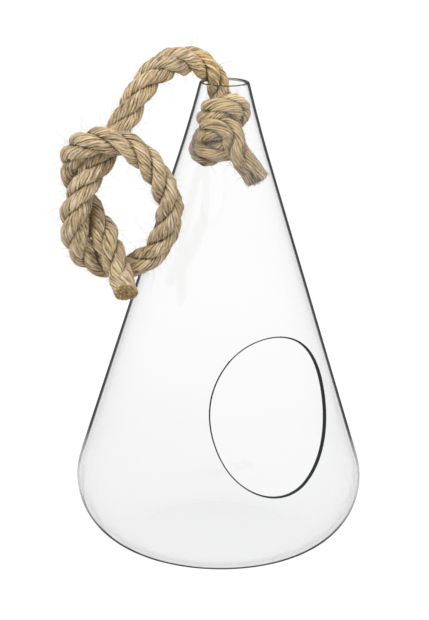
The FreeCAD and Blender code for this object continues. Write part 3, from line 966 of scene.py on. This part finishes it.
def floor_material():
    """White floor: lit as a pale matt surface, and white to the eye, in reflections and through
    glass."""
    material, output = new_material("white_floor")
    tree = material.node_tree
    matt = tree.nodes.new("ShaderNodeBsdfDiffuse")
    glow = tree.nodes.new("ShaderNodeEmission")
    seen = tree.nodes.new("ShaderNodeAddShader")
    plain = tree.nodes.new("ShaderNodeBsdfDiffuse")
    plain.inputs["Color"].default_value = (0.8, 0.8, 0.8, 1)
    path = tree.nodes.new("ShaderNodeLightPath").outputs
    through = path["Is Transmission Ray"]
    tree.links.new(room_tone(tree, path, 0.0), glow.inputs["Strength"])
    shaded = maths(tree, "SUBTRACT", 1.0, through, clamp=True)
    tree.links.new(times(tree, shaded, FLOOR_TONE), matt.inputs["Color"])
    straight = maths(tree, "MAXIMUM", path["Is Camera Ray"], path["Is Glossy Ray"])
    straight = maths(tree, "MAXIMUM", straight, through)
    tree.links.new(matt.outputs[0], seen.inputs[0])
    tree.links.new(glow.outputs[0], seen.inputs[1])
    whole = mix_shaders(tree, straight, plain.outputs[0], seen.outputs[0])
    tree.links.new(whole, output.inputs["Surface"])
    return material


# Stage

def studio_world():
    """White all round to the eye; reflections and the glass see the room's tones, and the object
    is lit by an even soft grey."""
    world = bpy.data.worlds.new("studio")
    world.use_nodes = True
    tree = world.node_tree
    tree.nodes.clear()
    output = tree.nodes.new("ShaderNodeOutputWorld")
    path = tree.nodes.new("ShaderNodeLightPath").outputs
    background = tree.nodes.new("ShaderNodeBackground")
    background.inputs["Color"].default_value = (1, 1, 1, 1)
    tree.links.new(room_tone(tree, path, WORLD_LEVEL), background.inputs["Strength"])
    tree.links.new(background.outputs[0], output.inputs["Surface"])
    return world


def soft_light(name, place, size, power):
    """A square area light that faces the lights' target, and isn't mirrored in the glass."""
    light = bpy.data.lights.new(name, "AREA")
    light.energy = power
    light.shape = "SQUARE"
    light.size = size
    holder = bpy.data.objects.new(name, light)
    holder.location = place
    toward = Vector(LIGHT_TARGET) - Vector(place)
    holder.rotation_euler = toward.to_track_quat("-Z", "Y").to_euler()
    holder.visible_glossy = False
    holder.visible_transmission = False
    bpy.context.scene.collection.objects.link(holder)


def add_camera(scene, settings):
    """The camera in front of the vase: it is turned to the right and down, and then rolled."""
    right, down, roll = np.radians(settings.camera_turn)
    data = bpy.data.cameras.new("camera")
    data.sensor_width = 36
    data.lens = settings.lens
    data.clip_end = 50
    camera = bpy.data.objects.new("camera", data)
    camera.matrix_world = (Matrix.Translation((0, -settings.camera_distance, settings.camera_height))
        @ Matrix.Rotation(-right, 4, "Z") @ Matrix.Rotation(math.pi / 2 - down, 4, "X")
        @ Matrix.Rotation(roll, 4, "Z"))
    scene.collection.objects.link(camera)
    scene.camera = camera


def add_floor(scene, settings):
    """A round white floor just under the vase."""
    turns = np.linspace(0, 2 * math.pi, FLOOR_SIDES + 1)[:-1]
    rim = np.stack([np.cos(turns) * settings.floor_radius, np.sin(turns) * settings.floor_radius,
                    np.full(FLOOR_SIDES, -FLOOR_DROP)], -1)
    mesh = bpy.data.meshes.new("floor")
    mesh.from_pydata(rim.tolist(), [], [list(range(FLOOR_SIDES))])
    mesh.materials.append(floor_material())
    floor = bpy.data.objects.new("floor", mesh)
    scene.collection.objects.link(floor)


# Operators

class OBJECT_OT_vase_glass(bpy.types.Operator):
    """Gives the blown glass its material"""

    bl_idname = "object.vase_glass"
    bl_label = "Glass vase"

    def execute(self, context):
        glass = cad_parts["glass_vase"]
        material = glass_material(context.scene.vase_glass)
        glass.data.materials.clear()
        glass.data.materials.append(material)
        return {"FINISHED"}


class OBJECT_OT_vase_rope(bpy.types.Operator):
    """Lays the three strands of the rope along its route, with its stray and cut fibres"""

    bl_idname = "object.vase_rope"
    bl_label = "Laid rope"

    def execute(self, context):
        settings = context.scene.vase_rope
        line = smooth_route()
        rope = rope_stations(line)
        rope_build(rope, settings)
        surfaces = [strand_surface(rope, number, settings) for number in range(STRANDS)]
        strands = [rope_strand(rope, number, surface, settings)
                   for number, surface in enumerate(surfaces)]
        lying = rope_lying_fibres(rope, surfaces, settings)
        hairs = rope_hairs(rope, settings)
        cut = rope_end_fibres(rope, settings)
        group = jute_group()
        # The laid rope gets painted shade in its creases; the loose fibres are a darker copy of the
        # jute, a painted shade, with none in creases
        laid = jute_material("jute_rope", settings, group, bump=0.80, crease_shade_strength=1.0, depth=1.0)
        loose = jute_material("jute_fibres", settings, group, bump=0.0, crease_shade_strength=0.0, depth=0.60)
        for piece in strands + [lying]:
            piece.data.materials.append(laid)
        for piece in (hairs, cut):
            piece.data.materials.append(loose)
        for piece in strands + [lying, hairs, cut]:
            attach(piece, "root")
        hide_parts("rope")
        return {"FINISHED"}


class OBJECT_OT_vase_stage(bpy.types.Operator):
    """Sets the camera, the white floor, the world and the lights"""

    bl_idname = "object.vase_stage"
    bl_label = "Stage"

    def execute(self, context):
        scene = context.scene
        scene.view_settings.view_transform = "Standard"
        add_camera(scene, scene.vase_stage)
        add_floor(scene, scene.vase_stage)
        scene.world = studio_world()
        for name, place, size, power in LIGHTS:
            soft_light(name, place, size, power)
        return {"FINISHED"}


class VIEW3D_PT_vase(bpy.types.Panel):
    """Lists the vase's settings and the steps that build it"""

    bl_label = "Hanging vase"
    bl_idname = "VIEW3D_PT_vase"
    bl_space_type = "VIEW_3D"
    bl_region_type = "UI"
    bl_category = "Vase"

    def draw(self, context):
        layout = self.layout
        scene = context.scene
        for settings in (scene.vase_glass, scene.vase_rope, scene.vase_stage):
            box = layout.box()
            for name in settings.bl_rna.properties.keys():
                if name not in {"rna_type", "name"}:
                    box.prop(settings, name)
        for step in STEPS:
            layout.operator(step)


STEPS = ("object.vase_glass", "object.vase_rope", "object.vase_stage")
CLASSES = (RopeSettings, GlassSettings, StageSettings, OBJECT_OT_vase_glass, OBJECT_OT_vase_rope,
           OBJECT_OT_vase_stage, VIEW3D_PT_vase)


def register():
    """Registers the classes and hangs their settings on the scene."""
    for item in CLASSES:
        bpy.utils.register_class(item)
    bpy.types.Scene.vase_rope = bpy.props.PointerProperty(type=RopeSettings)
    bpy.types.Scene.vase_glass = bpy.props.PointerProperty(type=GlassSettings)
    bpy.types.Scene.vase_stage = bpy.props.PointerProperty(type=StageSettings)


def unregister():
    """Takes the settings and the classes away again."""
    del bpy.types.Scene.vase_rope
    del bpy.types.Scene.vase_glass
    del bpy.types.Scene.vase_stage
    for item in reversed(CLASSES):
        bpy.utils.unregister_class(item)


def main():
    """Builds the vase."""
    register()
    bpy.ops.object.vase_glass()
    bpy.ops.object.vase_rope()
    bpy.ops.object.vase_stage()


if __name__ == "__main__":
    main()
